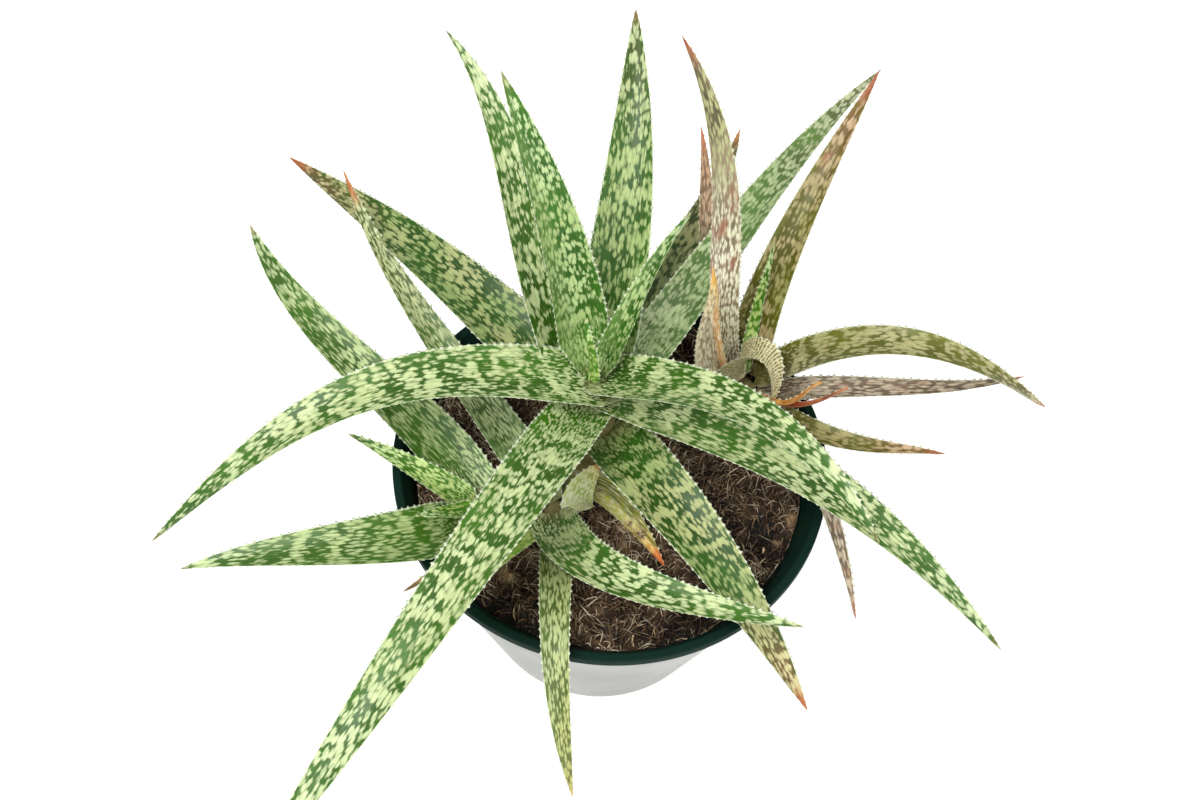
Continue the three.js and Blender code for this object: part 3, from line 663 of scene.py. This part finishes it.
def leaf_material(name, spots, ground, pale, blotch, burn, size, bands, fine, ridges, flank, turn):
    """A fleshy leaf's skin: spots on a darker ground, dried blotches, a burnt tip, a brown
    heel, a pale horny margin with white teeth, and a fine lengthwise grain."""
    blotch_colour, blotch_amount, blotch_start, blotch_end = blotch
    burn_colour, burn_start = burn
    flank_colour, flank_amount, flank_sign = flank
    material, g, shader = start_material(name)
    place = g.node("ShaderNodeUVMap", uv_map="skin").outputs[0]
    along = g.attribute("share_along")
    across = g.attribute("share_across")
    pattern = g.node("ShaderNodeGroup", node_tree=spots)
    g.put(pattern.inputs["Place"], g.stretch(place, (*fine, 1)))
    g.put(pattern.inputs["Along"], along)
    g.put(pattern.inputs["Size"], size)
    g.put(pattern.inputs["Bands"], bands)
    spot, threads = pattern.outputs["Spots"], pattern.outputs["Threads"]
    cloud = g.noise(g.stretch(place, *CLOUDS))
    to_tip = g.step(along, *turn)

    def base_to_tip(colours, factor):
        return g.mix(to_tip, shaded(colours[0], factor), shaded(colours[1], factor))

    dark = base_to_tip(ground, 1)
    bright = shaded(ground[0], BRIGHT_GROUND)
    dark = g.mix(g.step(cloud, 0.4, 0.68, 0.0, 0.7), dark, bright)
    dark = g.mix(g.step(across, 0.55, 1.0, 0.0, 0.5), dark, bright)
    dark = g.mix(g.step(threads, 0.5, 0.8, 0.0, 0.25), dark, rgb(*pale[0]))
    light = g.mix(pattern.outputs["Hearts"], base_to_tip(pale, SPOT_RIM), base_to_tip(pale, SPOT_HEART))
    light = g.mix(g.step(threads, 0.6, 0.3, 0.0, 0.3), light, dark)
    light = g.mix(g.calc("MULTIPLY", pattern.outputs["Dashes"], 0.6), light, dark)
    light = g.mix(g.step(cloud, 0.35, 0.6, 0.35, 0.0), light, shaded(pale[1], SPOT_CLOUD))
    colour = g.mix(spot, dark, light)

    if ridges > 0:
        wave = g.node("ShaderNodeTexWave", {"Vector": place, "Scale": 0.22, "Distortion": 3.0,
                                            "Detail": 2.0, "Detail Scale": 0.6}, bands_direction="Y")
        colour = g.mix(g.step(wave.outputs["Fac"], 0.35, 0.8, 0.0, ridges), colour, rgb(*pale[1]))
    if blotch_amount > 0:
        blotch_noise = g.noise(g.stretch(place, *BLOTCHES), detail=4.0)
        low = 0.66 - 0.35 * blotch_amount
        inside = g.calc("MULTIPLY", g.step(along, blotch_start - 0.08, blotch_start + 0.08),
                        g.step(along, blotch_end - 0.08, blotch_end + 0.08, 1.0, 0.0))
        patch = g.step(blotch_noise, low, low + 0.16, 0.0, min(0.8, 2 * blotch_amount))
        colour = g.mix(g.calc("MULTIPLY", patch, inside), colour, rgb(*blotch_colour))
    # One half of the blade takes the flank colour: painted light on heart's lit half, painted shade on
    # folded's shaded half, and dried orange on one half of dead.
    if flank_amount > 0:
        sideways = g.node("ShaderNodeSeparateXYZ", {0: place}).outputs["X"]
        half_blade = g.step(g.calc("MULTIPLY", sideways, flank_sign), 0.2, 1.6, 0.0, flank_amount)
        half_blade = g.calc("MULTIPLY", half_blade, g.step(threads, 0.7, 0.4))
        colour = g.mix(half_blade, colour, rgb(*flank_colour))
    edge = g.calc("ADD", along, g.about_zero(cloud, 0.16))
    burnt = g.step(edge, burn_start - 0.05, burn_start + 0.04, 0.0, 0.88)
    colour = g.mix(burnt, colour, rgb(*burn_colour))
    heel = g.step(g.calc("ADD", along, g.calc("MULTIPLY", threads, 0.04)), 0.03, 0.08, 0.45, 0.0)
    colour = g.mix(heel, colour, rgb(*BROWN_HEEL))
    margin = g.step(across, 0.968, 0.995, 0.0, 0.75)
    colour = g.mix(margin, colour, rgb(*WHITE_TOOTH))
    g.put(shader.inputs["Base Color"], colour)

    g.put(shader.inputs["Specular IOR Level"], 0.4)
    g.put(shader.inputs["Roughness"], g.step(spot, 0.0, 1.0, 0.42, 0.52))
    grain = g.noise(g.stretch(place, *GRAIN))
    height = g.calc("ADD", g.calc("MULTIPLY", grain, 0.6), g.calc("MULTIPLY", spot, 0.35))
    if ridges > 0:
        height = g.calc("ADD", height, wave.outputs["Fac"])
    g.relief(shader, height, 0.35, 0.0003)
    return material


def plastic_material(name, colour, roughness, speck, speck_amount, gloss=0.5):
    """Moulded plastic: its colour with faint clouds and dust, and a slightly uneven gloss."""
    material, g, shader = start_material(name)
    place = g.node("ShaderNodeTexCoord").outputs["Object"]
    cloud = g.noise(place, 28.0, 3.0)
    dust = g.noise(place, 900.0)
    tinted = g.mix(g.step(cloud, 0.3, 0.75, 0.0, 0.35), rgb(*colour), rgb(*speck))
    dusty = g.mix(g.step(dust, 0.66, 0.74, 0.0, speck_amount), tinted, rgb(*speck))
    g.put(shader.inputs["Base Color"], dusty)
    g.put(shader.inputs["Specular IOR Level"], gloss)
    g.put(shader.inputs["Roughness"], g.step(cloud, 0.2, 0.8, roughness - 0.06, roughness + 0.08))
    g.relief(shader, g.noise(place, 320.0), 0.12, 0.0002)
    return material


def coir_material(name, dark, middle, pale, clouds=0.4):
    """Coir, its strands and bark: three browns chosen by each place's tone, with clouds. On the
    potting mix and its strands the tone also holds painted light on what lies high and
    painted shade in hollows and, on the potting mix, against the pot's wall.
    """
    material, g, shader = start_material(name)
    place = g.node("ShaderNodeTexCoord").outputs["Object"]
    tone_and_shade = g.attribute("tone_and_shade")
    cloud = g.noise(place, 90.0, 3.0)
    crumb = g.noise(place, 700.0, 3.0, 0.6)
    mixed = g.calc("ADD", g.calc("MULTIPLY", crumb, 0.5), g.calc("MULTIPLY", tone_and_shade, 0.6))
    colour = g.mix(g.step(mixed, 0.2, 0.55), rgb(*dark), rgb(*middle))
    colour = g.mix(g.step(mixed, 0.55, 0.95), colour, rgb(*pale))
    colour = g.mix(g.step(cloud, 0.35, 0.75, 0.0, clouds), colour, rgb(*dark))
    g.put(shader.inputs["Base Color"], colour)
    g.put(shader.inputs["Roughness"], g.step(crumb, 0.3, 0.7, 0.75, 0.95))
    g.relief(shader, crumb, 0.9, 0.001)
    return material


def dress(piece, material):
    """Gives a piece its material."""
    piece.data.materials.clear()
    piece.data.materials.append(material)


spots = spots_group()
skins = {}
for finish, look in FINISHES.items():
    skins[finish] = leaf_material(f"{finish}_skin", spots, **{**PLAIN_FINISH, **look})

for number, (name, plant, width, route, finish, shape) in enumerate(LEAVES):
    leaf = make_leaf(number, name, plant, width, route, **shape)
    dress(leaf, skins[finish])


# Pots, stems and potting mix

def cover_radius(z):
    """Outside radius of the cover pot's straight wall at a height."""
    return COVER_BASE_RADIUS + (COVER_TOP_RADIUS - COVER_BASE_RADIUS) * z / COVER_TOP


def grow_radius(z):
    """Outside radius of the grow pot's wall, which stands inside the cover pot by a gap."""
    return cover_radius(z) - COVER_WALL - GAP


def grow_inside(z):
    """Inside radius of the grow pot's wall at a height."""
    return grow_radius(z) - GROW_WALL


COVER_PROFILE = [
    [0, 0], [COVER_BASE_RADIUS - FOOT_INSET, 0], [cover_radius(FOOT_HEIGHT), FOOT_HEIGHT],
    [COVER_TOP_RADIUS, COVER_TOP], [COVER_TOP_RADIUS - COVER_WALL, COVER_TOP],
    [cover_radius(COVER_FLOOR) - COVER_WALL, COVER_FLOOR], [0, COVER_FLOOR],
]
GROW_PROFILE = [
    [0, GROW_FLOOR], [grow_radius(GROW_FLOOR), GROW_FLOOR], [grow_radius(UNDER_RIM), UNDER_RIM],
    [RIM_RADIUS, UNDER_RIM], [RIM_RADIUS, RIM_TOP], [RIM_RADIUS - RIM_LIP, RIM_TOP],
    [grow_inside(UNDER_RIM - LIP_SLOPE), UNDER_RIM - LIP_SLOPE],
    [grow_inside(GROW_INSIDE_FLOOR), GROW_INSIDE_FLOOR], [0, GROW_INSIDE_FLOOR],
]

cover_pot = add_mesh("cover_pot_wall", *lathe(rounded(COVER_PROFILE, COVER_ROUNDING), POT_SIDES))
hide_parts("cover_pot")
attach(cover_pot, "root")
# The cover pot's pale plastic is given a mid grey: painted shade for a wall that faces down under the rim
# and the leaves.
dress(cover_pot, plastic_material("cover_pot_shaded_plastic", (134, 135, 129), roughness=0.36,
                                  speck=(125, 127, 121), speck_amount=0.12))

grow_pot = add_mesh("grow_pot_wall", *lathe(rounded(GROW_PROFILE, GROW_ROUNDING), POT_SIDES))
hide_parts("grow_pot")
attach(grow_pot, "root")
dress(grow_pot, plastic_material("grow_pot_plastic", (14, 38, 31), roughness=0.62,
                                 speck=(24, 48, 40), speck_amount=0.2, gloss=0.05))


def soil_height(x, y):
    """The part's own gentle lumps, with coarser and finer crumbs of value noise on top."""
    lumps = np.sin(0.21 * x + 1.3) * np.cos(0.17 * y) + 0.6 * np.sin(0.33 * y + 0.24 * x)
    crumbs = (2.8 * value_noise(x, y, 8.5, 5) + 1.8 * value_noise(x, y, 3.6, 6)
              + 0.9 * value_noise(x, y, 1.6, 7))
    return SOIL_TOP + 0.6 * lumps + crumbs


def make_soil():
    """The potting mix as one closed turned surface: its top by soil_height, with a few round
    lumps, which sinks a little against the pot, then its side and its foot. Its tone, which
    its colour follows, is lighter on what stands up and darker at the pot: painted light on
    raised crumbs and painted shade in hollows and against the pot's wall."""
    foot = GROW_INSIDE_FLOOR + GAP
    rim = grow_inside(SOIL_TOP) - GAP
    radii = np.linspace(rim, 0, SOIL_RINGS)
    profile = [[0, foot], [grow_inside(foot) - GAP, foot]] + [[r, SOIL_TOP] for r in radii]
    points, quads, triangles = lathe(profile, SOIL_SIDES)
    top = points[:, 2] > SOIL_TOP - 1
    x, y = points[:, 0], points[:, 1]
    inward = np.clip((rim - np.hypot(x, y)) / SINK_WIDTH, 0, 1)
    lump = sum(np.exp(-((x - a) ** 2 + (y - b) ** 2) / size ** 2) for a, b, size in LUMPS)
    height = (soil_height(x, y) - SOIL_TOP) * (0.4 + 0.6 * inward)
    height += LUMP_HEIGHT * lump - SOIL_SINK * (1 - inward)
    points[top, 2] += height[top]
    # Painted light and shade in the tone: lighter where the surface stands higher, darker in hollows and
    # in a band against the pot's wall. The lumps are paler crumbs of their own.
    tone_and_shade = (0.34 + 0.3 * value_noise(x, y, 2.2, 8) + 0.3 * value_noise(x, y, 11, 9)
            + 0.1 * (points[:, 2] - SOIL_TOP) + 0.7 * lump - 0.3 * (1 - inward))
    return add_mesh("potting_mix_crumb", points, quads, triangles, values=dict(tone_and_shade=tone_and_shade))


def make_strands(name, count, longest, thickness, most_bend, lift, seed, places=()):
    """Coir strands, fused as one mesh. Each is a thin three-sided tube on a flat arc: it starts
    on the potting mix, turns by up to most_bend radians over its length and bows by up to lift
    mm. The first ones start at the given places and the others anywhere. Each has a random
    tone, which is lighter where the potting mix is, with painted light on strands that lie
    high and painted shade on those that lie low."""
    rng = np.random.default_rng(seed)
    rim = grow_inside(SOIL_TOP) - STRAND_CLEARANCE
    radius = rim * np.sqrt(rng.uniform(0, 1, count))
    turn = rng.uniform(0, 2 * np.pi, count)
    start = np.stack([radius * np.cos(turn), radius * np.sin(turn)], axis=-1)
    for number, place in enumerate(places):
        start[number] = place
    heading = rng.uniform(0, 2 * np.pi, count)
    bend = rng.uniform(-most_bend, most_bend, count)
    length = longest * rng.uniform(0.25, 1, count)
    share = np.linspace(-0.5, 0.5, STRAND_RINGS)
    angle = heading[:, None] + bend[:, None] * share
    step = (length / (STRAND_RINGS - 1))[:, None]
    path = start[:, None] + np.stack([np.cumsum(np.cos(angle) * step, axis=1),
                                      np.cumsum(np.sin(angle) * step, axis=1)], axis=-1)
    away = np.hypot(path[..., 0], path[..., 1])
    path = path * np.minimum(1, rim / np.maximum(away, 1e-6))[..., None]
    ground = soil_height(path[..., 0], path[..., 1])
    arch = rng.uniform(-0.2, lift, count)[:, None] * (1 - (2 * share) ** 2)
    tilt = rng.uniform(-0.5, 0.9, count)[:, None] * share * lift
    height = 0.6 * ground + 0.4 * ground.mean(axis=1, keepdims=True) + arch + tilt + 0.1
    line = np.concatenate([path, height[..., None]], axis=-1)
    ahead = unit(np.gradient(line, axis=1))
    sideways = unit(np.cross(ahead, [0, 0, 1]))
    upward = np.cross(sideways, ahead)
    width = thickness * rng.uniform(0.4, 1.1, count)[:, None] * (1.05 - (2 * share) ** 4)
    corners = np.radians([90, 210, 330])[:, None]
    ring = sideways[:, :, None] * np.cos(corners) + upward[:, :, None] * np.sin(corners)
    points = line[:, :, None] + ring * width[..., None, None]
    ends = line[:, [0, -1]]
    quads, triangles = ring_faces(STRAND_RINGS, len(corners))
    each = STRAND_RINGS * len(corners) + 2
    offsets = np.arange(count)[:, None, None] * each
    points = np.concatenate([points.reshape(count, -1, 3), ends], axis=1).reshape(-1, 3)
    # Painted light and shade: a strand's tone rises with how high it lies above the potting mix.
    tone_and_shade = (rng.uniform(0, 1, count) ** 1.3 + 0.35 * value_noise(start[:, 0], start[:, 1], 11, 9)
            + 0.07 * (height.mean(axis=1) - SOIL_TOP))
    tone_and_shade = np.repeat(tone_and_shade, each)
    return add_mesh(name, points, (quads[None, :, ::-1] + offsets).reshape(-1, 4),
                    (triangles[None, :, ::-1] + offsets).reshape(-1, 3), values=dict(tone_and_shade=tone_and_shade))


soil = make_soil()
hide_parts("potting_mix")
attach(soil, "root")
dress(soil, coir_material("coir_crumb", (10, 6, 4), (74, 54, 36), (184, 150, 110)))
coarse = make_strands("coir_strands_coarse", 4600, longest=9.0, thickness=0.24, most_bend=1.2,
                      lift=3.6, seed=31)
fine = make_strands("coir_strands_fine", 6400, longest=6.5, thickness=0.17, most_bend=1.6,
                    lift=3.0, seed=32)
sticks = make_strands("coir_sticks", 90, longest=11.0, thickness=0.45, most_bend=0.5,
                      lift=2.4, seed=34)
flakes = make_strands("coir_flakes", 16, longest=9.0, thickness=0.8, most_bend=1.6,
                      lift=3.6, seed=33, places=FLAKE_PLACES)
strand_look = coir_material("coir_strand", (36, 23, 15), (140, 109, 78), (252, 234, 204), clouds=0.3)
stick_look = coir_material("coir_stick", (40, 22, 14), (86, 50, 34), (132, 92, 66), clouds=0.3)
flake_look = coir_material("coir_flake", (190, 152, 112), (236, 206, 166), (255, 240, 212), clouds=0.1)
for strands, look in ((coarse, strand_look), (fine, strand_look),
                      (sticks, stick_look), (flakes, flake_look)):
    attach(strands, "root")
    dress(strands, look)


def make_stem(plant):
    """A stem turned about its own axis, with shallow rings where old leaves sat, as in the
    part's source, and a rounded top."""
    crown, radius, drop, scars = PLANTS[plant]
    foot = SOIL_TOP - HOLE_DEPTH + GAP
    top = crown[2] - drop
    profile = [[0, foot], [radius, foot]]
    bare = SOIL_TOP + 2.3
    gap = (top - 2 - bare) / scars
    for k in range(scars):
        z = bare + k * gap
        profile += [[radius, z], [radius + 0.5, z + 0.3 * gap], [radius - 0.3, z + 0.6 * gap]]
    profile += [[radius - 0.4, top - 1.6], [radius - 2, top], [0, top]]
    points, quads, triangles = lathe(rounded(profile, STEM_ROUNDING), STEM_SIDES)
    points = points + [crown[0], crown[1], 0]
    piece = add_mesh(f"stem_{plant}_bark", points, quads, triangles,
                     values=dict(tone_and_shade=np.full(len(points), 0.6)))
    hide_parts(f"stem_{plant}")
    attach(piece, "root")
    return piece


stem_look = coir_material("stem_bark", (78, 74, 40), (128, 118, 74), (168, 156, 112))
for plant in PLANTS:
    dress(make_stem(plant), stem_look)


# Floor, lights and camera. The camera stands in front of the plant and looks down on it.

FLOOR_HALF = 6000
FLOOR_GLOW = 0.4
WORLD_STRENGTH = 0.52
AIM = (0, 0, 0.1)
CAMERA_PLACE = (-0.0055, -0.293, 0.6135)
LOOK_DOWN = np.radians(58.06)
ROLL = np.radians(4.8)
FOCAL_PIXELS = 1700
IMAGE_WIDTH = 1200
SENSOR_WIDTH = 36


def make_floor():
    """A wide white floor that glows a little, as a lit paper sheet does."""
    ends = np.array([[-1, -1, 0], [1, -1, 0], [1, 1, 0], [-1, 1, 0]], float)
    piece = add_mesh("floor", FLOOR_HALF * ends, np.array([[0, 1, 2, 3]]), np.zeros((0, 3), int))
    material, g, shader = start_material("white_floor")
    g.put(shader.inputs["Base Color"], rgb(250, 250, 250))
    g.put(shader.inputs["Roughness"], 0.7)
    g.put(shader.inputs["Emission Color"], (1, 1, 1, 1))
    g.put(shader.inputs["Emission Strength"], FLOOR_GLOW)
    piece.data.materials.append(material)


def soft_light(name, place, target, size, watts):
    """A square soft box that faces a target, all in metres."""
    light = bpy.data.lights.new(name, "AREA")
    light.shape = "SQUARE"
    light.size = size
    light.energy = watts
    lamp = bpy.data.objects.new(name, light)
    bpy.context.scene.collection.objects.link(lamp)
    back = unit(np.array(place, float) - np.array(target, float))
    right = unit(np.cross([0, 1, 0.01], back))
    turned = np.eye(4)
    turned[:3, 0], turned[:3, 1], turned[:3, 2] = right, np.cross(back, right), back
    turned[:3, 3] = place
    lamp.matrix_world = Matrix(turned.tolist())


make_floor()
soft_light("key", (-0.35, -0.45, 1.2), AIM, size=0.6, watts=12)
soft_light("fill", (0.8, -0.7, 0.9), AIM, size=1.2, watts=7)

world = bpy.data.worlds.new("studio")
world.use_nodes = True
background = world.node_tree.nodes["Background"].inputs
background["Color"].default_value = (1, 1, 1, 1)
background["Strength"].default_value = WORLD_STRENGTH
bpy.context.scene.world = world


def make_camera():
    """The camera, turned down by LOOK_DOWN from level and about its own axis by ROLL."""
    data = bpy.data.cameras.new("camera")
    data.sensor_width = SENSOR_WIDTH
    data.lens = FOCAL_PIXELS / IMAGE_WIDTH * SENSOR_WIDTH
    camera = bpy.data.objects.new("camera", data)
    bpy.context.scene.collection.objects.link(camera)
    forward = np.array([0, np.cos(LOOK_DOWN), -np.sin(LOOK_DOWN)])
    level_up = np.array([0, np.sin(LOOK_DOWN), np.cos(LOOK_DOWN)])
    level_right = np.array([1, 0, 0])
    turned = np.eye(4)
    turned[:3, 0] = np.cos(ROLL) * level_right + np.sin(ROLL) * level_up
    turned[:3, 1] = -np.sin(ROLL) * level_right + np.cos(ROLL) * level_up
    turned[:3, 2] = -forward
    turned[:3, 3] = CAMERA_PLACE
    camera.matrix_world = Matrix(turned.tolist())
    bpy.context.scene.camera = camera


make_camera()
bpy.context.scene.view_settings.view_transform = "Standard"
